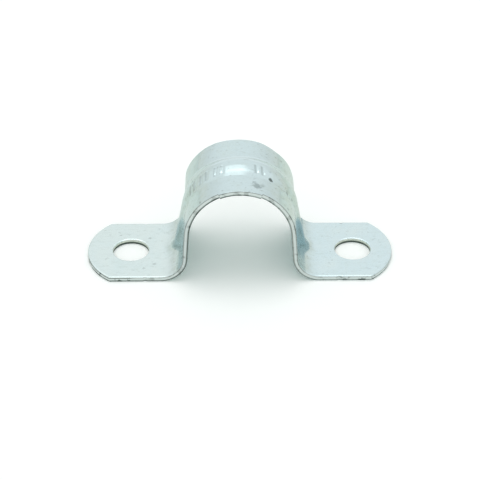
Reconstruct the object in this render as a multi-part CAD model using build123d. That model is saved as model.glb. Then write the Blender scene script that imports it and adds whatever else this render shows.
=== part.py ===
from build123d import *
import os
from math import cos, pi, radians, sin, sqrt

# Two-hole conduit strap, pressed from one strip of zinc-plated sheet steel.
# Millimetres. +X runs from ear to ear, +Y along the conduit, +Z away from the fixing surface.
# The origin is the middle of the footprint on the fixing surface.

# Sheet, and the conduit that it holds
sheet_thickness = 0.95
conduit_diameter = 17.9
saddle_clearance = 0.1
saddle_axis_height = 9.4

# The legs lean outwards by the draft in degrees, and turn into the ears through a bend
leg_draft = 4.0
bend_radius = 4.05

# Outline of the strip, with the length of each ear from the bend to its tip
strap_width = 16.9
ear_length = 13.4
ear_end_radius = 10.8

# Both long edges were sheared from the next strap: the crown keeps its full width as a tab,
# the trim beside the tab runs out on the legs, and each ear has a small nick
crown_tab_length = 8.0
trim_depth = 0.35
nick_from_bend = 3.1
nick_width = 0.9
nick_depth = 0.25

# Screw holes, placed from the tips of the ears
hole_diameter = 6.6
hole_from_tip = 7.5

# Stiffening rib, raised outwards along the middle of the saddle
rib_height = 0.55
rib_base_width = 6.8
rib_crest_width = 1.0

# The rib leans out further than the legs, by its own draft in degrees, and runs out in a
# tighter bend that meets the ear in the same line
rib_draft = 10.5

# Bevel on the upper edge of the ears and holes, where the punch drew the sheet down
edge_draw = 0.2

# Extra reach of blanks and tools, all of it cut away again
spare = 1.0

# Cross-sections that form the S-curve on each side of the rib
rib_stations = 7


def saddle_radius():
    """Inside radius of the saddle beside the rib."""
    return conduit_diameter / 2 + saddle_clearance


def normal(slope):
    """Direction in the XZ plane that is tilted up from +X by a slope in degrees."""
    return Vector(cos(radians(slope)), 0, sin(radians(slope)))


def bend_end():
    """Distance from the middle to the line in which the bends meet the flat ears."""
    lean = normal(leg_draft)
    across_leg = saddle_radius() + sheet_thickness + bend_radius
    below_axis = saddle_axis_height - sheet_thickness - bend_radius
    return (across_leg + below_axis * lean.Z) / lean.X


def skin_points(lift, inset):
    """Points of one skin's right half in the XZ plane, from the crown to the ear.

    They are the crown, the shoulder where the half-round saddle gives way to the straight
    leg, and the start, middle and end of the bend. lift is the share of the rib's height,
    and inset the depth below the outer skin.
    """
    slope = leg_draft + (rib_draft - leg_draft) * lift
    lean = normal(slope)
    arch = saddle_radius() + sheet_thickness + rib_height * lift
    reach = bend_end() * lean.X - (saddle_axis_height - sheet_thickness) * lean.Z
    bend = (reach - arch) / (1 - lean.Z)
    axis = Vector(0, 0, saddle_axis_height)
    centre = Vector(bend_end(), 0, sheet_thickness + bend)
    crown, shoulder = (axis + way * (arch - inset) for way in (normal(90), lean))
    arc = [centre - normal(turn) * (bend + inset) for turn in (slope, (slope + 90) / 2, 90)]
    return crown, shoulder, *arc


def tip_distance():
    """Distance from the middle to the tip of each ear."""
    return bend_end() + ear_length


def skin(lift, inset, y):
    """Edges of one skin from the left ear's tip to the right one, in the plane at y."""
    crown, shoulder, start, middle, end = skin_points(lift, inset)
    tip = Vector(tip_distance() + spare, 0, sheet_thickness - inset)

    def at(point, side=1):
        return side * point.X, y, point.Z

    edges = [ThreePointArc(at(shoulder, -1), at(crown), at(shoulder))]
    for side in (-1, 1):
        edges.append(Line(at(shoulder, side), at(start, side)))
        edges.append(ThreePointArc(at(start, side), at(middle, side), at(end, side)))
        edges.append(Line(at(end, side), at(tip, side)))
    return edges


def section(lift, y):
    """Cross-section of the sheet in the plane at y, with the rib lifted by a share."""
    tip = tip_distance() + spare
    ends = [Line((x, y, 0), (x, y, sheet_thickness)) for x in (-tip, tip)]
    edges = skin(lift, 0, y) + skin(lift, sheet_thickness, y) + ends
    return make_face(Wire.combine(edges)[0])


def band(lift, y_from, y_to):
    """Stretch of sheet that has one cross-section."""
    return extrude(section(lift, y_from), amount=y_to - y_from, dir=(0, 1, 0))


def rib_side(side):
    """Side of the rib, which rises in an S-curve from the plain sheet to the crest."""
    shares = [i / (rib_stations - 1) for i in range(rib_stations)]
    foot, top = rib_base_width / 2, rib_crest_width / 2
    return loft([section((1 - cos(pi * u)) / 2, side * (foot + (top - foot) * u)) for u in shares])


def formed_sheet():
    """Bent and ribbed strip, still with square ends and straight long edges."""
    edge, foot, top = strap_width / 2, rib_base_width / 2, rib_crest_width / 2
    crest = band(1, -top, top)
    return crest.fuse(rib_side(-1), rib_side(1), band(0, -edge, -foot), band(0, foot, edge))


def long_edge():
    """Points of the rear long edge, from the left ear's corner to the right one's."""
    edge = strap_width / 2
    nick = bend_end() + nick_from_bend
    corner = tip_distance() - ear_end_radius + sqrt(ear_end_radius**2 - edge**2)
    half = [
        (corner, edge),
        (nick + nick_width / 2, edge),
        (nick, edge - nick_depth),
        (nick - nick_width / 2, edge),
        (saddle_radius() + sheet_thickness, edge),
        (crown_tab_length / 2, edge - trim_depth),
        (crown_tab_length / 2, edge),
    ]
    return [(-x, y) for x, y in half] + half[::-1]


def outline():
    """Plan outline of the strap, with its two long edges and two round ends."""
    rear = long_edge()
    front = [(x, -y) for x, y in rear]
    tip = tip_distance()
    edges = [*Polyline(*rear).edges(), *Polyline(*front).edges()]
    edges.append(ThreePointArc(front[-1], (tip, 0), rear[-1]))
    edges.append(ThreePointArc(front[0], (-tip, 0), rear[0]))
    return make_face(Wire.combine(edges)[0])


def trimming_block():
    """Solid that the formed sheet is cut to, with the ears' upper edge bevelled."""
    plan = outline()
    ears = extrude(plan, amount=sheet_thickness)
    ears = chamfer(ears.faces().sort_by(Axis.Z)[-1].edges(), edge_draw)
    height = saddle_axis_height + saddle_radius() + sheet_thickness + rib_height + spare
    between_ears = Box(2 * bend_end(), strap_width + spare, 2 * height)
    return ears + (extrude(plan, amount=height) & between_ears)


def is_hole_rim(edge):
    """Whether an edge is the upper rim of a screw hole."""
    if edge.geom_type != GeomType.CIRCLE:
        return False
    return abs(edge.radius - hole_diameter / 2) < 1e-6 and edge.center().Z > sheet_thickness / 2


def strap():
    """Finished strap: the formed sheet, trimmed to its outline, with two screw holes."""
    body = formed_sheet() & trimming_block()
    hole = Cylinder(hole_diameter / 2, 2 * (sheet_thickness + spare))
    distance = tip_distance() - hole_from_tip
    body -= [Pos(x, 0, 0) * hole for x in (-distance, distance)]
    return chamfer([edge for edge in body.edges() if is_hole_rim(edge)], edge_draw)


os.makedirs("parts", exist_ok=True)
export_step(strap(), "parts/strap.step")
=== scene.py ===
import logging
from collections.abc import Callable, Iterator
from dataclasses import dataclass
from enum import Enum
from math import asin, cos, hypot, pi, radians, sin, sqrt

import bpy
import numpy as np
from mathutils import Matrix, Vector
from mathutils.geometry import delaunay_2d_cdt
from mathutils.kdtree import KDTree


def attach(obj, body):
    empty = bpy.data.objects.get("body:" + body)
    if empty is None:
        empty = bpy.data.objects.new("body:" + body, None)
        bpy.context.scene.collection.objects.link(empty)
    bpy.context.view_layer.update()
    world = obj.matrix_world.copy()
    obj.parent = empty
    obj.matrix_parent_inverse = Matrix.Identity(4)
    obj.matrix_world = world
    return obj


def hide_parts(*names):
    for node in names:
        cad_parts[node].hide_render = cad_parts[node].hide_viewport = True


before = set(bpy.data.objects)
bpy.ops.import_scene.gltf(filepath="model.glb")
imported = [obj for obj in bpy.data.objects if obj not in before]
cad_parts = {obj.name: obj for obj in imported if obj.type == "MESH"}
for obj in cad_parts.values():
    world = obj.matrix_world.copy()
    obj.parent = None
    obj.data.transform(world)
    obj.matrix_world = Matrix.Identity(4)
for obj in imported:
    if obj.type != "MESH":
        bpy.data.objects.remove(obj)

# Two-hole conduit strap, pressed from one strip of zinc-plated sheet steel, on a pale floor.
# The strip is drawn flat and then bent by a Geometry Nodes tree. Flat coordinates are the length
# along the strip from the middle of the crown, the place across it, and the depth below the skin.
log = logging.getLogger("strap")

MM = 0.001
Colour = tuple[float, float, float]
Point = tuple[float, float]
Pair = tuple[float, float]
Distance = Callable[[Point], float]
Settings = dict[str, object]
Socket = bpy.types.NodeSocket


class Curve(Enum):
    """How a Map Range node climbs from its low end to its high end."""

    STRAIGHT = "LINEAR"
    SMOOTH = "SMOOTHSTEP"


class Value:
    """A number that flows through a node tree. Python's operators add its Math nodes."""

    def __init__(self, tree: "Tree", socket: Socket) -> None:
        """Wrap an output socket of the tree."""
        self.tree = tree
        self.socket = socket

    def __add__(self, other: "Number") -> "Value":
        """Sum."""
        return self.tree.math("ADD", self, other)

    def __radd__(self, other: "Number") -> "Value":
        """Sum, with the plain number first."""
        return self.tree.math("ADD", other, self)

    def __sub__(self, other: "Number") -> "Value":
        """Difference."""
        return self.tree.math("SUBTRACT", self, other)

    def __rsub__(self, other: "Number") -> "Value":
        """Difference, with the plain number first."""
        return self.tree.math("SUBTRACT", other, self)

    def __mul__(self, other: "Number") -> "Value":
        """Product."""
        return self.tree.math("MULTIPLY", self, other)

    def __rmul__(self, other: "Number") -> "Value":
        """Product, with the plain number first."""
        return self.tree.math("MULTIPLY", other, self)

    def __truediv__(self, other: "Number") -> "Value":
        """Quotient."""
        return self.tree.math("DIVIDE", self, other)

    def __neg__(self) -> "Value":
        """Opposite."""
        return self.tree.math("MULTIPLY", self, -1.0)

    def __abs__(self) -> "Value":
        """Size without the sign."""
        return self.tree.math("ABSOLUTE", self)

    def at_least(self, low: "Number") -> "Value":
        """The larger of this and another number."""
        return self.tree.math("MAXIMUM", self, low)

    def sin(self) -> "Value":
        """Sine."""
        return self.tree.math("SINE", self)

    def cos(self) -> "Value":
        """Cosine."""
        return self.tree.math("COSINE", self)

    def root(self) -> "Value":
        """Square root."""
        return self.tree.math("SQRT", self)

    def sign(self) -> "Value":
        """One with the sign of this number."""
        return self.tree.math("SIGN", self)

    def share(self, low: "Number", high: "Number") -> "Value":
        """How far this has come from low to high, held between 0 and 1."""
        return self.tree.remap(self, low, high, Curve.STRAIGHT)

    def ease(self, low: "Number", high: "Number") -> "Value":
        """The same share with a smooth start and end."""
        return self.tree.remap(self, low, high, Curve.SMOOTH)


Number = float | Value


class Tree:
    """A node tree of any kind, written as formulas."""

    def __init__(self, nodes: bpy.types.NodeTree) -> None:
        """Wrap a tree and clear it."""
        self.nodes = nodes
        nodes.nodes.clear()

    def node(self, kind: str, settings: Settings, inputs: dict[int | str, object]) -> bpy.types.Node:
        """Add a node.

        Args:
            kind: Blender's name of the node's type.
            settings: The node's own properties, which are set first.
            inputs: Numbers, colours, values or sockets for its inputs, by name or by place.

        Returns:
            The new node.
        """
        node = self.nodes.nodes.new(kind)
        for name, setting in settings.items():
            setattr(node, name, setting)
        for place, value in inputs.items():
            socket = node.inputs[place]
            source = value.socket if isinstance(value, Value) else value
            if isinstance(source, Socket):
                self.nodes.links.new(source, socket)
            elif socket.type == "RGBA":
                socket.default_value = (*source, 1.0)
            else:
                socket.default_value = source
        return node

    def math(self, operation: str, *operands: Number) -> Value:
        """Add a Math node and return its result."""
        node = self.node("ShaderNodeMath", {"operation": operation}, dict(enumerate(operands)))
        return Value(self, node.outputs[0])

    def remap(self, value: Number, low: Number, high: Number, curve: Curve) -> Value:
        """Add a Map Range node.

        Args:
            value: The number to map.
            low: Where the result is 0.
            high: Where the result is 1.
            curve: How the result climbs between them.

        Returns:
            The mapped number, held between 0 and 1.
        """
        inputs = {"Value": value, "From Min": low, "From Max": high}
        settings = {"interpolation_type": curve.value, "clamp": True}
        return Value(self, self.node("ShaderNodeMapRange", settings, inputs).outputs[0])

    def split(self, vector: Socket) -> tuple[Value, Value, Value]:
        """Take a vector apart into its three numbers."""
        x, y, z = self.node("ShaderNodeSeparateXYZ", {}, {0: vector}).outputs
        return Value(self, x), Value(self, y), Value(self, z)

    def join(self, x: Number, y: Number, z: Number) -> Socket:
        """Make a vector of three numbers."""
        return self.node("ShaderNodeCombineXYZ", {}, {0: x, 1: y, 2: z}).outputs[0]

    def noise(self, vector: Socket, scale: float, detail: float) -> Value:
        """Add a Noise Texture of about 0 to 1 and return its height."""
        inputs = {"Vector": vector, "Scale": scale, "Detail": detail}
        return Value(self, self.node("ShaderNodeTexNoise", {}, inputs).outputs[0])

    def blend(self, share: Number, first: object, second: object) -> Socket:
        """Mix two colours by a share of the second."""
        settings = {"data_type": "RGBA", "clamp_factor": True}
        return self.node("ShaderNodeMix", settings, {0: share, 6: first, 7: second}).outputs[2]

    def choose(self, ray: Socket, others: bpy.types.Node, own: bpy.types.Node) -> bpy.types.Node:
        """Give one kind of ray a shader of its own."""
        inputs = {0: ray, 1: others.outputs[0], 2: own.outputs[0]}
        return self.node("ShaderNodeMixShader", {}, inputs)

    def stored(self, name: str) -> Value:
        """Read a number of the mesh's points in a Geometry Nodes tree."""
        node = self.node("GeometryNodeInputNamedAttribute", {"data_type": "FLOAT"}, {"Name": name})
        return Value(self, node.outputs[0])

    def shaded(self, name: str) -> Value:
        """Read a number of the mesh's points in a material."""
        node = self.node("ShaderNodeAttribute", {"attribute_name": name}, {})
        return Value(self, node.outputs["Fac"])


@dataclass(frozen=True)
class EdgeRun:
    """One of the four long edges, from the crown out to an ear.

    The crown keeps its full width as a tab. Beside the tab the edge steps back, and the trim
    runs out towards the leg, set back by the sag half way. The nick is placed from the bend.
    """

    tab: float
    step: float
    sag: float
    run_out: float
    nick: float

    def set_back(self, share: float) -> float:
        """Follow the trimmed edge.

        Args:
            share: Share of the way from the tab to the run-out.

        Returns:
            How far the edge lies back there.
        """
        if share < 0.5:
            return self.step + (self.sag - self.step) * share * 2
        return self.sag * (1 - share) * 2


@dataclass(frozen=True)
class Bars:
    """Row of plain bars pressed into the rib, all alike, at flat places in millimetres.

    Their places are multiples of the blank's grid, so that all of them take the same shape.
    """

    starts: tuple[float, ...] = (-10.5, -7.56, -4.41, 3.15)
    per_group: int = 2
    pitch: float = 1.26
    across: float = -1.3
    half_length: float = 1.2
    end_slope: float = 0.3
    half_width: float = 0.42

    def mask(self, along: Value, across: Value) -> Value:
        """Cover the bars.

        Args:
            along: Flat length of a point of the strip.
            across: Its place across the strip.

        Returns:
            One in the middle of a bar, and zero outside all of them.
        """
        off_middle = abs(across - self.across * MM)
        inside = 1 - off_middle.ease((self.half_length - self.end_slope) * MM, self.half_length * MM)
        total = 0.0
        for start in self.starts:
            for place in (start + self.pitch * i for i in range(self.per_group)):
                total = total + (1 - abs(along - place * MM).ease(0.0, self.half_width * MM))
        return inside * total


@dataclass
class Strap:
    """The pressed strap: its flat blank, and the tree that bends the blank into shape."""

    sheet_thickness: float = 0.95 * MM
    saddle_radius: float = 9.05 * MM
    saddle_axis_height: float = 9.4 * MM
    leg_draft: float = radians(4.0)
    bend_radius: float = 4.05 * MM
    strap_width: float = 16.9 * MM
    ear_length: float = 13.4 * MM
    ear_end_radius: float = 10.8 * MM
    ear_end_offset: float = 0.15 * MM
    hole_diameter: float = 6.55 * MM
    hole_from_tip: float = 7.5 * MM
    punch_offset: float = 0.35 * MM
    rib_height: float = 0.55 * MM
    rib_base_width: float = 6.8 * MM
    rib_crest_width: float = 1.0 * MM
    rib_draft: float = radians(10.5)
    nick_width: float = 0.8 * MM
    nick_depth: float = 0.14 * MM
    bar_depth: float = 0.1 * MM
    bars: Bars = Bars()

    # The edges are rolled over, less at the crown than further out, and the saddle isn't quite
    # even. The bulge's rise and fall are flat lengths on the left, as shares of half the arch.
    upper_roll: float = 0.18 * MM
    lower_roll: float = 0.12 * MM
    crown_roll: float = 0.3
    waviness: float = 0.03 * MM
    wave_scale: float = 180.0
    shoulder_bulge: float = 0.27 * MM
    bulge_rise: Pair = (-1.0, -0.8)
    bulge_fall: Pair = (-0.42, -0.04)

    # How finely the blank is divided. Each edge has a row of points for each turn of the roll,
    # without those that have another edge nearer than a share of their inset.
    grid: float = 0.21 * MM
    wall_rows: int = 4
    trim_steps: int = 8
    end_steps: int = 90
    hole_steps: int = 120
    roll_turns: tuple[float, ...] = (0.0, pi / 8, pi / 4, 3 * pi / 8)
    least_inset: float = 0.93

    front_left: EdgeRun = EdgeRun(3.8 * MM, 0.35 * MM, 0.18 * MM, 9.9 * MM, 2.7 * MM)
    front_right: EdgeRun = EdgeRun(3.95 * MM, 0.38 * MM, 0.2 * MM, 9.9 * MM, 3.4 * MM)
    rear_left: EdgeRun = EdgeRun(4.75 * MM, 0.06 * MM, 0.03 * MM, 9.9 * MM, 3.1 * MM)
    rear_right: EdgeRun = EdgeRun(4.2 * MM, 0.05 * MM, 0.4 * MM, 9.0 * MM, 4.6 * MM)

    @property
    def arch_radius(self) -> float:
        """Outside radius of the saddle beside the rib."""
        return self.saddle_radius + self.sheet_thickness

    @property
    def arch_length(self) -> float:
        """Length of half the saddle, from the crown to the leg."""
        return self.arch_radius * (pi / 2 - self.leg_draft)

    @property
    def leg_length(self) -> float:
        """Length of the straight leg beside the rib."""
        below_axis = self.saddle_axis_height - self.sheet_thickness - self.bend_radius
        lean = (self.arch_radius + self.bend_radius) * sin(self.leg_draft)
        return (below_axis + lean) / cos(self.leg_draft)

    @property
    def bend_start(self) -> float:
        """Flat length from the crown to the bend."""
        return self.arch_length + self.leg_length

    @property
    def ear_start(self) -> float:
        """Flat length from the crown to the ear."""
        return self.bend_start + self.bend_radius * (pi / 2 - self.leg_draft)

    @property
    def bend_end(self) -> float:
        """Distance from the middle plane to the flat ear."""
        reach = (self.arch_radius + self.bend_radius) * cos(self.leg_draft)
        return reach + self.leg_length * sin(self.leg_draft)

    @property
    def tip(self) -> float:
        """Flat length from the crown to the tip of an ear."""
        return self.ear_start + self.ear_length

    @property
    def hole_middles(self) -> tuple[float, float]:
        """Flat lengths of the two holes, both punched a little to the right."""
        reach = self.tip - self.hole_from_tip
        return self.punch_offset - reach, self.punch_offset + reach

    def edge_points(self, run: EdgeRun) -> list[Point]:
        """Points of one long edge, short of its outer corner.

        Args:
            run: The edge, with its tab, trim and nick.

        Returns:
            Flat length and distance from the middle line, from the crown outwards.
        """
        edge = self.strap_width / 2
        nick = self.ear_start + run.nick
        points = [(self.arch_radius * asin(run.tab / self.arch_radius), edge)]
        for share in (step / self.trim_steps for step in range(self.trim_steps + 1)):
            place = run.tab + (run.run_out - run.tab) * share
            flat = self.arch_radius * asin(place / self.arch_radius)
            points.append((flat, edge - run.set_back(share)))
        half = self.nick_width / 2
        return points + [(nick - half, edge), (nick, edge - self.nick_depth), (nick + half, edge)]

    def outer_loop(self) -> list[Point]:
        """Draw the blank's outline.

        Returns:
            Its corners, once round against the clock.
        """
        front = [(-s, -y) for s, y in self.edge_points(self.front_left)][::-1]
        front += [(s, -y) for s, y in self.edge_points(self.front_right)]
        rear = self.edge_points(self.rear_right)[::-1]
        rear += [(-s, y) for s, y in self.edge_points(self.rear_left)]
        left_end = [(-s, y) for s, y in self.ear_end()][::-1]
        return front + self.ear_end() + rear + left_end

    def ear_end(self) -> list[Point]:
        """Draw the right ear's round end.

        Returns:
            Its points, from the front corner to the rear one.
        """
        edge, radius = self.strap_width / 2, self.ear_end_radius
        front = asin((-edge - self.ear_end_offset) / radius)
        rear = asin((edge - self.ear_end_offset) / radius)
        steps = range(self.end_steps + 1)
        turns = [front + (rear - front) * step / self.end_steps for step in steps]
        centre = self.tip - radius
        return [(centre + radius * cos(t), self.ear_end_offset + radius * sin(t)) for t in turns]

    def holes(self) -> list[list[Point]]:
        """Draw the rims of the two screw holes.

        Returns:
            The points of each rim.
        """
        radius = self.hole_diameter / 2
        turns = [2 * pi * step / self.hole_steps for step in range(self.hole_steps)]
        return [[(m + radius * cos(t), radius * sin(t)) for t in turns] for m in self.hole_middles]

    def near_hole(self, along: Value, across: Value) -> Value:
        """Cover the walls of both holes.

        Args:
            along: Flat length of a point of the strip.
            across: Its place across the strip.

        Returns:
            One at a hole's wall, and zero from a ninth of its radius outwards.
        """
        total = 0.0
        for middle in self.hole_middles:
            x = along - middle
            reach = (x * x + across * across).root()
            total = total + 1 - reach.ease(self.hole_diameter / 2, self.hole_diameter / 1.8)
        return total

    def blank(self) -> bpy.types.Object:
        """Draw the flat strip as a closed mesh.

        Returns:
            An object whose points hold their flat place, their distance from the nearest edge
            as "edge", and their share of the way through the sheet as "through".
        """
        loops = [np.array(list(walk(self.outer_loop(), self.grid)))]
        loops += [np.array(hole) for hole in self.holes()]
        points, triangles, edge_distance = self.skin(loops)
        count = len(points)
        places = [points, points]
        distances = [edge_distance, edge_distance]
        through = [np.zeros(count), np.ones(count)]
        faces = [tuple(face) for face in triangles]
        faces += [tuple(count + i for i in face[::-1]) for face in triangles]
        start = 0
        for loop in loops:
            size = len(loop)
            rings = [np.arange(start, start + size)]
            for row in range(1, self.wall_rows):
                rings.append(sum(map(len, places)) + np.arange(size))
                places.append(loop)
                distances.append(np.zeros(size))
                through.append(np.full(size, row / self.wall_rows))
            rings.append(rings[0] + count)
            for upper, lower in zip(rings, rings[1:]):
                quads = zip(upper, lower, np.roll(lower, -1), np.roll(upper, -1))
                faces += [tuple(int(i) for i in quad) for quad in quads]
            start += size
        mesh = bpy.data.meshes.new("strap_blank")
        flat = np.concatenate(places)
        coordinates = np.column_stack([flat, np.zeros(len(flat))])
        mesh.from_pydata(coordinates.tolist(), [], faces)
        for name, values in (("edge", distances), ("through", through)):
            attribute = mesh.attributes.new(name, "FLOAT", "POINT")
            attribute.data.foreach_set("value", np.concatenate(values).astype(np.float32))
        blank = bpy.data.objects.new("strap_blank", mesh)
        bpy.context.scene.collection.objects.link(blank)
        return blank

    def skin(self, loops: list[np.ndarray]) -> tuple[np.ndarray, list[list[int]], np.ndarray]:
        """Fill the blank's outline with triangles, finer where the edges are rolled over.

        Args:
            loops: The outline, against the clock, and then the holes.

        Returns:
            The points, with the loops' first, the triangles, and each point's distance from
            the nearest edge.
        """
        edge_places = [place for loop in loops for place in walk(loop, self.grid / 5)]
        tree = KDTree(len(edge_places))
        for place in edge_places:
            tree.insert((*place, 0.0), 0)
        tree.balance()

        def distance(place: Point) -> float:
            """Distance from a place to the nearest edge."""
            return tree.find((*place, 0.0))[2]

        points = [tuple(map(float, place)) for loop in loops for place in loop]
        points += self.rows_along_edges(loops, distance)
        points += self.even_grid(distance)
        edges, start = [], 0
        for loop in loops:
            size = len(loop)
            edges += [(start + i, start + (i + 1) % size) for i in range(size)]
            start += size
        found = delaunay_2d_cdt([Vector(p) for p in points], edges, [], 0, 1e-9, False)
        places = np.array([tuple(v) for v in found[0]])
        triangles = np.array(found[2])
        triangles = triangles[enclosed(places[triangles].mean(axis=1), loops)]
        used = np.zeros(len(places), bool)
        used[triangles] = True
        used[:start] = True
        index = np.cumsum(used) - 1
        places = places[used]
        distances = np.array([0.0 if i < start else distance(p) for i, p in enumerate(places)])
        return places, index[triangles].tolist(), distances

    def rows_along_edges(self, loops: list[np.ndarray], distance: Distance) -> list[Point]:
        """Set points beside the edges, in a row for each turn of the rolled-over quarter.

        Args:
            loops: The outline, against the clock, and then the holes.
            distance: Gives a place's distance from the nearest edge.

        Returns:
            The points, without those that come too close to another edge.
        """
        points = []
        for turn in self.roll_turns:
            inset = self.upper_roll * (1 - sin(turn))
            least = self.least_inset * inset
            for loop, side in zip(loops, (1, -1, -1)):
                along = np.roll(loop, -1, axis=0) - np.roll(loop, 1, axis=0)
                along /= np.linalg.norm(along, axis=1)[:, None]
                inward = side * np.column_stack([-along[:, 1], along[:, 0]])
                row = loop + inward * inset
                points += [tuple(place) for place in row if distance(place) > least]
        return points

    def even_grid(self, distance: Distance) -> list[Point]:
        """Set points inside the rolled-over edges, on an even grid of triangles.

        Args:
            distance: Gives a place's distance from the nearest edge.

        Returns:
            The points.
        """
        row_step = self.grid * sqrt(3) / 2
        rows = int(self.strap_width / 2 / row_step)
        columns = int(self.tip / self.grid) + 1
        margin = self.upper_roll + 0.5 * self.grid
        points = []
        for row in range(-rows, rows + 1):
            for column in range(-columns, columns + 1):
                place = ((column + 0.5 * (row % 2)) * self.grid, row * row_step)
                if distance(place) > margin:
                    points.append(place)
        return points

    def inputs(self) -> dict[str, float]:
        """List the sizes that the forming tree takes.

        Returns:
            The sizes, by the names of the tree's inputs.
        """
        return {
            "Sheet thickness": self.sheet_thickness,
            "Arch radius": self.arch_radius,
            "Axis height": self.saddle_axis_height,
            "Leg draft": self.leg_draft,
            "Arch length": self.arch_length,
            "Leg length": self.leg_length,
            "Bend radius": self.bend_radius,
            "Bend end": self.bend_end,
            "Rib height": self.rib_height,
            "Rib base width": self.rib_base_width,
            "Rib crest width": self.rib_crest_width,
            "Rib draft": self.rib_draft,
            "Upper roll": self.upper_roll,
            "Lower roll": self.lower_roll,
            "Waviness": self.waviness,
            "Shoulder bulge": self.shoulder_bulge,
            "Bar depth": self.bar_depth,
        }

    def forming_tree(self) -> bpy.types.NodeTree:
        """Build the tree that bends the flat blank.

        Returns:
            A Geometry Nodes tree with named inputs for the sizes and the finish.
        """
        group = bpy.data.node_groups.new("form_strap", "GeometryNodeTree")
        tree = Tree(group)
        interface = group.interface
        interface.new_socket("Geometry", in_out="INPUT", socket_type="NodeSocketGeometry")
        for name, size in self.inputs().items():
            socket = interface.new_socket(name, in_out="INPUT", socket_type="NodeSocketFloat")
            socket.default_value = size
        interface.new_socket("Finish", in_out="INPUT", socket_type="NodeSocketMaterial")
        interface.new_socket("Geometry", in_out="OUTPUT", socket_type="NodeSocketGeometry")
        given = tree.node("NodeGroupInput", {}, {})
        size = {name: Value(tree, given.outputs[name]) for name in self.inputs()}

        position = tree.node("GeometryNodeInputPosition", {}, {}).outputs[0]
        flat, across, _ = tree.split(position)
        lift = abs(across).share(size["Rib base width"] / 2, size["Rib crest width"] / 2)
        lift = (1 - (lift * pi).cos()) / 2
        x, z, slope = self.centre_line(size, abs(flat), lift)
        depth = self.depth(tree, size, position)
        x = (x - depth * slope.cos()) * flat.sign()
        z = z - depth * slope.sin()

        geometry = given.outputs["Geometry"]
        marks = (
            ("flat", "FLOAT_VECTOR", tree.join(flat, across, depth)),
            ("slope", "FLOAT", slope),
        )
        for name, kind, value in marks:
            settings = {"data_type": kind, "domain": "POINT"}
            inputs = {"Geometry": geometry, "Name": name, "Value": value}
            geometry = tree.node("GeometryNodeStoreNamedAttribute", settings, inputs).outputs[0]
        inputs = {"Geometry": geometry, "Position": tree.join(x, across, z)}
        bent = tree.node("GeometryNodeSetPosition", {}, inputs)
        smooth = tree.node("GeometryNodeSetShadeSmooth", {}, {"Geometry": bent.outputs[0]})
        real = tree.node("GeometryNodeRealizeInstances", {}, {"Geometry": smooth.outputs[0]})
        finish = {"Geometry": real.outputs[0], "Material": given.outputs["Finish"]}
        dressed = tree.node("GeometryNodeSetMaterial", {}, finish)
        tree.node("NodeGroupOutput", {}, {"Geometry": dressed.outputs[0]})
        return group

    def centre_line(self, size: dict[str, Value], length: Value, lift: Value) -> tuple[Value, Value, Value]:
        """Follow the outer skin from the crown to the ear.

        Args:
            size: The tree's inputs.
            length: Flat length from the crown.
            lift: Share of the rib's height.

        Returns:
            Distance from the middle plane, height, and the tilt of the skin's normal.
        """
        draft = size["Leg draft"] + (size["Rib draft"] - size["Leg draft"]) * lift
        arch = size["Arch radius"] + size["Rib height"] * lift
        height = size["Axis height"] - size["Sheet thickness"]
        bend = (size["Bend end"] * draft.cos() - height * draft.sin() - arch) / (1 - draft.sin())
        leg = (height + (arch + bend) * draft.sin() - bend) / draft.cos()

        start = size["Arch length"]
        slope = pi / 2 - (pi / 2 - draft) * length.share(0.0, start)
        x = arch * slope.cos()
        z = size["Axis height"] + arch * slope.sin()
        end = start + size["Leg length"]
        straight = leg * length.share(start, end)
        x = x + straight * draft.sin()
        z = z - straight * draft.cos()
        start, end = end, end + size["Bend radius"] * (pi / 2 - size["Leg draft"])
        turn = (pi / 2 - draft) * length.share(start, end)
        x = x + bend * (draft.cos() - (draft + turn).cos())
        z = z + bend * (draft.sin() - (draft + turn).sin())
        return x + (length - end).at_least(0.0), z, slope + turn

    def depth(self, tree: Tree, size: dict[str, Value], position: Socket) -> Value:
        """Place each point below the even outer skin.

        Args:
            tree: The forming tree.
            size: The tree's inputs.
            position: The point's place on the flat blank.

        Returns:
            The depth, with the rolled edges, the waves, the bulge and the bars.
        """
        flat, across, _ = tree.split(position)
        edge, through = tree.stored("edge"), tree.stored("through")
        arch = size["Arch length"]
        outwards = abs(flat).ease(arch, arch + size["Leg length"] * 2)
        roll = size["Upper roll"] * (self.crown_roll + (1 - self.crown_roll) * outwards)
        burr = size["Lower roll"]
        upper = (1 - edge / roll).at_least(0.0)
        upper = roll * (1 - (1 - upper * upper).root())
        lower = (1 - edge / burr).at_least(0.0)
        lower = size["Sheet thickness"] - burr * (1 - (1 - lower * lower).root())
        rolled = upper + (lower - upper) * through
        wave = tree.noise(position, self.wave_scale, 1.0) * size["Waviness"] * (1 - outwards)
        (foot, full), (fade, end) = self.bulge_rise, self.bulge_fall
        shoulder = flat.ease(arch * foot, arch * full) * (1 - flat.ease(arch * fade, arch * end))
        bulge = shoulder * across.ease(0.0, size["Rib base width"]) * size["Shoulder bulge"]
        pressed = self.bars.mask(flat, across) * (1 - through) * size["Bar depth"]
        return rolled + wave - bulge + pressed

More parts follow.
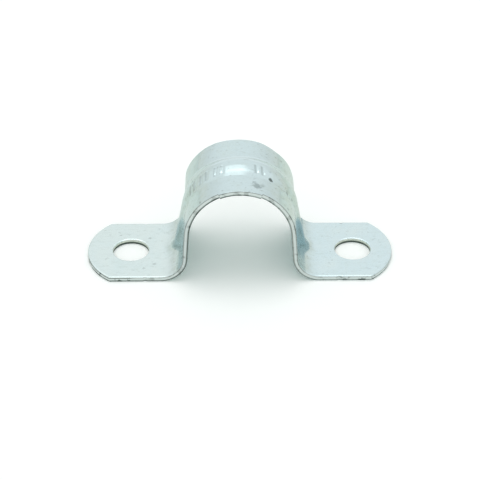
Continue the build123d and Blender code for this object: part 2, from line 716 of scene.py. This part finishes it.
    def build(self, finish: bpy.types.Material) -> None:
        """Form and dress the strap, and leave it as a plain mesh.

        Args:
            finish: Its material.
        """
        blank = self.blank()
        modifier = blank.modifiers.new("form", "NODES")
        modifier.node_group = self.forming_tree()
        sizes = self.inputs()
        for item in modifier.node_group.interface.items_tree:
            if item.in_out == "INPUT" and item.name in sizes:
                modifier[item.identifier] = sizes[item.name]
            if item.name == "Finish":
                modifier[item.identifier] = finish
        formed = blank.evaluated_get(bpy.context.evaluated_depsgraph_get())
        mesh = bpy.data.meshes.new_from_object(formed)
        mesh.name = "pressed_strap"
        bpy.data.objects.remove(blank)
        piece = bpy.data.objects.new("pressed_strap", mesh)
        bpy.context.scene.collection.objects.link(piece)
        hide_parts("strap")
        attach(piece, "root")
        log.info("pressed_strap: %d triangles", sum(len(face.vertices) - 2 for face in mesh.polygons))


def walk(corners: "list[Point] | np.ndarray", step: float) -> Iterator[Point]:
    """Go once round a closed outline.

    Args:
        corners: The outline's corners.
        step: The longest distance between two points.

    Yields:
        The corners, with points between them.
    """
    for i, (x, y) in enumerate(corners):
        end_x, end_y = corners[(i + 1) % len(corners)]
        count = max(1, int(np.ceil(hypot(end_x - x, end_y - y) / step - 1e-6)))
        for part in range(count):
            share = part / count
            yield float(x + (end_x - x) * share), float(y + (end_y - y) * share)


def enclosed(places: np.ndarray, loops: list[np.ndarray]) -> np.ndarray:
    """Find the places that lie inside an odd number of loops.

    Args:
        places: The places to look at.
        loops: Closed outlines, such as a blank's outline and its holes.

    Returns:
        Whether each place lies inside.
    """
    x, y = places.T
    inside = np.zeros(len(places), bool)
    for loop in loops:
        for (x0, y0), (x1, y1) in zip(loop, np.roll(loop, -1, axis=0)):
            if y0 != y1:
                between = (y0 > y) != (y1 > y)
                inside ^= between & (x < (x1 - x0) * (y - y0) / (y1 - y0) + x0)
    return inside


@dataclass(frozen=True)
class ShadedPoint:
    """What the plating's material knows of the shaded point.

    The first five are the strap's own attributes. Ear, sides and right are 1 on the ears, on
    the sides of the saddle with the legs, and on the right half. The rest are noises.
    """

    along: Value
    across: Value
    edge: Value
    through: Value
    slope: Value
    ear: Value
    sides: Value
    right: Value
    cloud: Value
    mottle: Value
    fine: Value
    streaks: Value
    flecks: Value


@dataclass(frozen=True)
class Amount:
    """An amount on the crown, and what the ears, the sides and the right half add to it."""

    crown: float
    ear: float = 0.0
    sides: float = 0.0
    right: float = 0.0

    def here(self, at: ShadedPoint) -> Value:
        """Work out the amount at the shaded point."""
        return self.crown + at.ear * self.ear + at.sides * self.sides + at.right * self.right


@dataclass(frozen=True)
class Spot:
    """A dark speck on the plating, at a flat place in millimetres."""

    along: float
    across: float
    radius: float
    strength: float
    fray: float = 2.4

    def mask(self, at: ShadedPoint) -> Value:
        """Cover the speck's place.

        Args:
            at: The shaded point, whose mottling frays the speck's rim.

        Returns:
            The speck's strength, which fades at its rim.
        """
        x, y = at.along - self.along * MM, at.across - self.across * MM
        reach = (x * x + y * y).root() / (self.radius * MM) + (at.mottle - 0.5) * self.fray
        return (1 - reach.ease(0.3, 1.1)) * self.strength


@dataclass(frozen=True)
class ZincPlating:
    """Bright zinc on cold-rolled sheet: pale blue-green metal with a soft, uneven gloss."""

    warm: Colour = (0.73, 0.82, 0.80)
    cool: Colour = (0.66, 0.79, 0.82)
    saddle: Colour = (0.65, 0.765, 0.775)
    green: Colour = (0.64, 0.73, 0.66)
    painted_reflection_colour: Colour = (0.32, 0.46, 0.49)
    cut: Colour = (0.83, 0.86, 0.85)
    punched: Colour = (0.95, 1.0, 0.9)
    dirt_and_shade: Colour = (0.05, 0.07, 0.06)
    roughness: float = 0.15
    cloud_roughness: float = 0.1
    fine_roughness: float = 0.05
    wall_roughness: float = 0.25
    patch_roughness: float = 0.12

    # Flat lengths over which the saddle's sides begin, and the left half becomes the right
    sides_start: Pair = (4.5 * MM, 11.0 * MM)
    middle: Pair = (-1.0 * MM, 1.0 * MM)

    # Scale and detail of the noises. The streaks are drawn out along the strip.
    cloud: Pair = (220.0, 3.0)
    mottle: Pair = (900.0, 3.0)
    fine: Pair = (2600.0, 2.0)
    flecks: Pair = (1500.0, 2.0)
    streaks: Pair = (2400.0, 2.0)
    streak_squeeze: float = 0.06

    # Shares of the cool colour, which grows from left to right, and of the green
    cool_least: float = 0.1
    cool_right: float = 0.6
    cool_range: Pair = (-12.0 * MM, 16.0 * MM)
    cool_clouds: float = 1.5
    green_sides: Amount = Amount(0.45, right=0.4)
    green_clouds: float = 0.8
    green_mottling: Amount = Amount(0.5, sides=1.0)

    # The painted reflection on each leg, a dark patch, starts on a slanting line and ends at a tilt
    # of the skin. The right one is the stronger, but fades towards the front.
    patch_slant: float = 0.65
    patch_below_arch: float = 2.5 * MM
    patch_start: Pair = (-0.6 * MM, 0.8 * MM)
    patch_limit: Amount = Amount(radians(35.0), right=radians(14.0))
    patch_end: Pair = (-0.08, 0.08)
    patch_share: Amount = Amount(0.58, right=0.42)
    patch_front: Pair = (3.0 * MM, 6.5 * MM)
    patch_front_loss: float = 0.6

    # Shares of dirt on the skins. Painted shade beside the bars lies to their left by the shift.
    fleck_dirt: Amount = Amount(0.25, ear=-0.12, sides=0.27)
    streak_dirt: float = 0.12
    mottle_dirt: Amount = Amount(0.12, sides=0.4)
    bar_painted_shade: float = 0.28
    bar_shade_shift: float = 0.3 * MM

    # Shares of darkening on the sheared walls: dirt in pits, a painted reflection along their upper
    # edges, and painted shade along their lower edges and low on the holes' walls
    pit_dirt: float = 0.3
    pit_dirt_ends: float = 0.35
    upper_painted_reflection: Amount = Amount(0.6, ear=-0.3)
    left_end_painted_reflection: float = 0.6
    lower_painted_shade: Amount = Amount(0.85, right=-0.25)
    hole_painted_shade: float = 0.75

    # Relief that is finer than the mesh
    cloud_relief: float = 0.02 * MM
    mottle_relief: float = 0.003 * MM
    fine_relief: float = 0.002 * MM
    streak_relief: float = 0.001 * MM
    speck_relief: float = 0.05 * MM

    specks: tuple[Spot, ...] = (
        Spot(3.0, -6.1, 1.1, 0.42),
        Spot(4.1, -5.5, 0.8, 0.25),
        Spot(5.85, -2.6, 0.45, 0.85),
        Spot(9.9, -2.6, 0.35, 0.4),
        Spot(11.8, -2.45, 0.3, 0.45),
        Spot(10.0, -7.2, 0.3, 0.5),
        Spot(-34.0, 4.7, 0.4, 0.35),
        Spot(-28.65, 3.7, 0.5, 0.25),
        Spot(-27.7, -4.4, 0.5, 0.22),
        Spot(-29.45, -5.6, 0.4, 0.2),
        Spot(31.1, 8.2, 0.4, 0.35),
    )

    def material(self, strap: Strap) -> bpy.types.Material:
        """Build the material.

        Args:
            strap: The strap that wears it, for the places of its edges and bends.

        Returns:
            The material, which reads the strap's own attributes.
        """
        material = bpy.data.materials.new("zinc_plating")
        material.use_nodes = True
        tree = Tree(material.node_tree)
        at = self.shaded_point(tree, strap)
        reflection_patch = self.reflection_patch(at, strap)
        specks = sum(speck.mask(at) for speck in self.specks)
        wall = 1 - at.edge.share(0.004 * MM, 0.03 * MM)

        colour = self.bare_colour(tree, at)
        # Painted reflection: a dark patch on each leg and bend, where the ear is mirrored.
        fading = at.right * (-at.across).ease(*self.patch_front) * self.patch_front_loss
        colour = tree.blend(reflection_patch * self.patch_share.here(at) * (1 - fading), colour, self.painted_reflection_colour)
        colour = tree.blend(self.soil_and_bar_shade(at, strap), colour, self.dirt_and_shade)
        colour = tree.blend(specks, colour, self.dirt_and_shade)
        colour = self.wall_colour(tree, at, strap, wall, colour)
        roughness = self.roughness + (at.cloud - 0.5) * self.cloud_roughness
        roughness = roughness + (at.fine - 0.5) * self.fine_roughness
        roughness = roughness + wall * self.wall_roughness + reflection_patch * self.patch_roughness
        height = at.fine * self.fine_relief + at.cloud * self.cloud_relief
        height = height + at.streaks * self.streak_relief + at.mottle * self.mottle_relief
        height = height - specks * self.speck_relief
        bump = tree.node("ShaderNodeBump", {}, {"Strength": 1.0, "Distance": 1.0, "Height": height})
        surface = {
            "Base Color": colour,
            "Metallic": 1.0,
            "Roughness": roughness,
            "Normal": bump.outputs[0],
        }
        shader = tree.node("ShaderNodeBsdfPrincipled", {}, surface)
        tree.node("ShaderNodeOutputMaterial", {}, {"Surface": shader.outputs[0]})
        return material

    def shaded_point(self, tree: Tree, strap: Strap) -> ShadedPoint:
        """Read the strap's attributes and add the noises.

        Args:
            tree: The material's tree.
            strap: The strap, for the places of its bends.

        Returns:
            The shaded point.
        """
        place = tree.node("ShaderNodeTexCoord", {}, {}).outputs["Object"]
        flat = tree.node("ShaderNodeAttribute", {"attribute_name": "flat"}, {}).outputs["Vector"]
        along, across, _ = tree.split(flat)
        ear = abs(along).ease(strap.bend_start, strap.ear_start)
        drawn_out = tree.join(along * self.streak_squeeze, across, 0.0)
        return ShadedPoint(
            along=along,
            across=across,
            edge=tree.shaded("edge"),
            through=tree.shaded("through"),
            slope=tree.shaded("slope"),
            ear=ear,
            sides=abs(along).ease(*self.sides_start) * (1 - ear),
            right=along.ease(*self.middle),
            cloud=tree.noise(place, *self.cloud),
            mottle=tree.noise(place, *self.mottle),
            fine=tree.noise(place, *self.fine),
            streaks=tree.noise(drawn_out, *self.streaks),
            flecks=tree.noise(place, *self.flecks),
        )

    def bare_colour(self, tree: Tree, at: ShadedPoint) -> Socket:
        """Colour the clean plating.

        Args:
            tree: The material's tree.
            at: The shaded point.

        Returns:
            Cloudy blue-green, cooler to the right and greener on the saddle's sides.
        """
        cool = at.along.ease(*self.cool_range) * self.cool_right
        cool = cool + (at.cloud - 0.5) * self.cool_clouds + self.cool_least
        colour = tree.blend(cool, self.warm, self.cool)
        colour = tree.blend(1 - at.ear, colour, self.saddle)
        green = at.sides * self.green_sides.here(at) + (at.cloud - 0.5) * self.green_clouds
        green = green + (at.mottle - 0.5) * self.green_mottling.here(at)
        return tree.blend(green, colour, self.green)

    def reflection_patch(self, at: ShadedPoint, strap: Strap) -> Value:
        """Cover the patches of painted reflection, from the legs to half way down the bends.

        Args:
            at: The shaded point.
            strap: The strap, for the place of its legs.

        Returns:
            One inside a patch and zero outside.
        """
        past_line = abs(at.along) - at.across * self.patch_slant
        past_line = past_line - (strap.arch_length + self.patch_below_arch)
        past_limit = at.slope - self.patch_limit.here(at)
        return past_line.ease(*self.patch_start) * (1 - past_limit.ease(*self.patch_end))

    def soil_and_bar_shade(self, at: ShadedPoint, strap: Strap) -> Value:
        """Soil the skin with flecks, streaks and mottling, most of all on the sides.

        Args:
            at: The shaded point.
            strap: The strap, for its bars.

        Returns:
            The share of dirt, with painted shade added on the left side of each bar.
        """
        flecks = at.flecks.ease(0.6, 0.78) * self.fleck_dirt.here(at)
        streaks = (at.streaks - 0.5) * self.streak_dirt
        mottling = (at.mottle - 0.5) * self.mottle_dirt.here(at)
        # Painted shade on the left side of each bar
        beside_bars = strap.bars.mask(at.along + self.bar_shade_shift, at.across)
        return flecks + streaks + mottling + beside_bars * self.bar_painted_shade

    def wall_colour(self, tree: Tree, at: ShadedPoint, strap: Strap, wall: Value, skin: Socket) -> Socket:
        """Colour the sheared walls of the outline and the holes.

        Args:
            tree: The material's tree.
            at: The shaded point.
            strap: The strap, for the places of its holes.
            wall: One on a wall, and zero on a skin.
            skin: Colour of the skins.

        Returns:
            The skins' colour, with paler, pitted walls, darkened by a painted reflection at their upper
            edges and by painted shade at their lower edges. The holes' walls are clean above, with painted
            shade below.
        """
        hole = strap.near_hole(at.along, at.across)
        ends = abs(at.along).ease(29.0 * MM, 32.5 * MM)
        pits = at.mottle.ease(0.52, 0.66) * (self.pit_dirt + ends * self.pit_dirt_ends)
        # Painted reflection: a dark line along the upper edges, stronger at the left ear's front end.
        # Painted contact shadow: a dark line along the lower edges and low on the holes' walls.
        left_end_rim = (-at.along).ease(30.5 * MM, 32.5 * MM) * (-at.across).ease(2.0 * MM, 4.0 * MM)
        upper = self.upper_painted_reflection.here(at) + left_end_rim * self.left_end_painted_reflection
        upper = (1 - at.through.ease(0.02, 0.25)) * upper
        lower = at.through.ease(0.62, 0.9) * self.lower_painted_shade.here(at)
        lower = lower + hole * at.through.ease(0.3, 0.5) * self.hole_painted_shade
        colour = tree.blend(wall * 0.8, skin, self.cut)
        colour = tree.blend(wall * hole, colour, self.punched)
        return tree.blend(wall * ((upper + pits) * (1 - hole) + lower), colour, self.dirt_and_shade)


@dataclass(frozen=True)
class Panel:
    """A lit panel over the rear of the set, which only polished metal sees.

    Places are steps to the side and to the rear for each step up. The light falls off over a
    range at the flanks, the near edge and the far edge.
    """

    level: float
    side: float
    flanks: Pair
    near: Pair
    far: Pair

    def light(self, across: Value, back: Value) -> Value:
        """Light one direction.

        Args:
            across: Steps to the side for each step up.
            back: Steps to the rear for each step up.

        Returns:
            The light that the panel adds there.
        """
        width = 1 - abs(across - self.side).ease(*self.flanks)
        return width * back.ease(*self.near) * (1 - back.ease(*self.far)) * self.level


@dataclass
class Studio:
    """Pale floor, soft light from above and from all round, and the camera."""

    lens: float = 134.9
    distance: float = 0.3302
    elevation: float = radians(35.50)
    azimuth: float = radians(-0.383)
    roll: float = radians(-0.116)
    shift_right: float = 0.03 * MM
    shift_up: float = 2.466 * MM
    lamp_side: float = 0.30
    lamp_distance: float = 0.5
    lamp_elevation: float = radians(84.0)
    lamp_azimuth: float = radians(-20.0)
    lamp_level: float = 2.2

    floor_reach: float = 3.0
    floor_seen: Colour = (1.03, 1.03, 1.03)
    floor_lift: Colour = (0.02, 0.055, 0.04)
    floor_plain: Colour = (0.8, 0.87, 0.84)

    # Light from the surround, everywhere and added in front
    soft_level: float = 0.70
    front_level: float = 0.6

    # What polished metal sees: a level near the floor, what is added to it higher up and low
    # behind the strap, and a soft box and a strip
    mirror_level: float = 0.83
    upper_level: float = 0.13
    behind_level: float = 0.16
    soft_box: Panel = Panel(0.3, -0.17, (0.20, 0.46), (0.1, 0.3), (1.05, 1.25))
    strip: Panel = Panel(1.8, 0.0, (0.3, 0.6), (0.1, 0.16), (0.36, 0.44))
    low_tint: Colour = (0.97, 1.0, 0.97)
    high_tint: Colour = (0.97, 1.0, 1.01)

    def floor(self) -> None:
        """Lay a large pale floor, which looks a little lighter to the camera than it is."""
        mesh = bpy.data.meshes.new("floor")
        signs = ((-1, -1), (1, -1), (1, 1), (-1, 1))
        corners = [(x * self.floor_reach, y * self.floor_reach, 0) for x, y in signs]
        mesh.from_pydata(corners, [], [(0, 1, 2, 3)])
        material = bpy.data.materials.new("floor")
        material.use_nodes = True
        tree = Tree(material.node_tree)
        path = tree.node("ShaderNodeLightPath", {}, {})
        seen = tree.node("ShaderNodeBsdfDiffuse", {}, {"Color": self.floor_seen})
        lift = tree.node("ShaderNodeEmission", {}, {"Color": self.floor_lift, "Strength": 1.0})
        lifted = tree.node("ShaderNodeAddShader", {}, {0: seen.outputs[0], 1: lift.outputs[0]})
        plain = tree.node("ShaderNodeBsdfDiffuse", {}, {"Color": self.floor_plain})
        mixed = tree.choose(path.outputs["Is Camera Ray"], plain, lifted)
        tree.node("ShaderNodeOutputMaterial", {}, {"Surface": mixed.outputs[0]})
        mesh.materials.append(material)
        floor = bpy.data.objects.new("floor", mesh)
        bpy.context.scene.collection.objects.link(floor)

    def world(self) -> None:
        """Light the set from all round, with more from the front. The camera sees plain white."""
        world = bpy.data.worlds.new("surround")
        world.use_nodes = True
        bpy.context.scene.world = world
        tree = Tree(world.node_tree)
        path = tree.node("ShaderNodeLightPath", {}, {})
        direction = tree.node("ShaderNodeTexCoord", {}, {}).outputs["Generated"]
        side, rear, up = tree.split(direction)
        white = (1.0, 1.0, 1.0)
        soft = self.soft_level + self.front_level * (-rear).ease(0.4, 0.95)
        light = tree.node("ShaderNodeBackground", {}, {"Color": white, "Strength": soft})
        light = tree.choose(path.outputs["Is Glossy Ray"], light, self.mirrored(tree, side, rear, up))
        seen = tree.node("ShaderNodeBackground", {}, {"Color": white, "Strength": 1.0})
        mixed = tree.choose(path.outputs["Is Camera Ray"], light, seen)
        tree.node("ShaderNodeOutputWorld", {}, {"Surface": mixed.outputs[0]})

    def mirrored(self, tree: Tree, side: Value, rear: Value, up: Value) -> bpy.types.Node:
        """Make the surround that polished metal sees.

        Args:
            tree: The world's tree.
            side: How far a direction points to the right.
            rear: How far it points to the rear.
            up: How far it points upwards.

        Returns:
            A pale background, lighter above, with a soft box and a strip over the rear.
        """
        above = up.at_least(0.05)
        behind = rear.ease(0.84, 0.96)
        level = self.mirror_level + self.upper_level * up.ease(0.2, 0.55)
        for panel in (self.soft_box, self.strip):
            level = level + panel.light(side / above, rear / above)
        level = level + self.behind_level * behind * (1 - up.ease(0.15, 0.55))
        tint = tree.blend(up.ease(0.0, 0.5) + behind, self.low_tint, self.high_tint)
        return tree.node("ShaderNodeBackground", {}, {"Color": tint, "Strength": level})

    def lamp(self) -> None:
        """Hang a large soft lamp over the strap, a little to the rear and left.

        Polished metal doesn't mirror it, and sees the box and the strip of the surround instead.
        """
        light = bpy.data.lights.new("overhead", "AREA")
        light.shape = "SQUARE"
        light.size = self.lamp_side
        light.energy = self.lamp_level * pi * self.lamp_side**2
        lamp = bpy.data.objects.new("overhead", light)
        lamp.visible_glossy = False
        bpy.context.scene.collection.objects.link(lamp)
        rise, turn = self.lamp_elevation, self.lamp_azimuth
        towards = Vector((sin(turn) * cos(rise), cos(turn) * cos(rise), sin(rise)))
        lamp.location = towards * self.lamp_distance
        lamp.rotation_euler = towards.to_track_quat("Z", "Y").to_euler()

    def camera(self) -> None:
        """Set the camera at the photograph's viewing angle."""
        turn, rise, roll = self.azimuth, self.elevation, self.roll
        back = Vector((sin(turn) * cos(rise), -cos(turn) * cos(rise), sin(rise)))
        right = Vector((cos(turn), sin(turn), 0.0))
        up = back.cross(right)
        tilted_right = cos(roll) * right + sin(roll) * up
        tilted_up = cos(roll) * up - sin(roll) * right
        data = bpy.data.cameras.new("camera")
        data.lens = self.lens
        data.clip_start = 0.01
        camera = bpy.data.objects.new("camera", data)
        bpy.context.scene.collection.objects.link(camera)
        axes = Matrix((tilted_right, tilted_up, back)).transposed()
        place = back * self.distance + right * self.shift_right + up * self.shift_up
        camera.matrix_world = Matrix.Translation(place) @ axes.to_4x4()
        bpy.context.scene.camera = camera

    def build(self) -> None:
        """Set up the floor, the light and the camera."""
        self.floor()
        self.world()
        self.lamp()
        self.camera()
        bpy.context.scene.view_settings.view_transform = "Standard"
        log.info("studio: floor, surround, lamp and camera")


def main() -> None:
    """Build the strap and its studio."""
    logging.basicConfig(level=logging.INFO, format="%(name)s: %(message)s")
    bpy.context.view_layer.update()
    strap = Strap()
    strap.build(ZincPlating().material(strap))
    Studio().build()


if __name__ == "__main__":
    main()
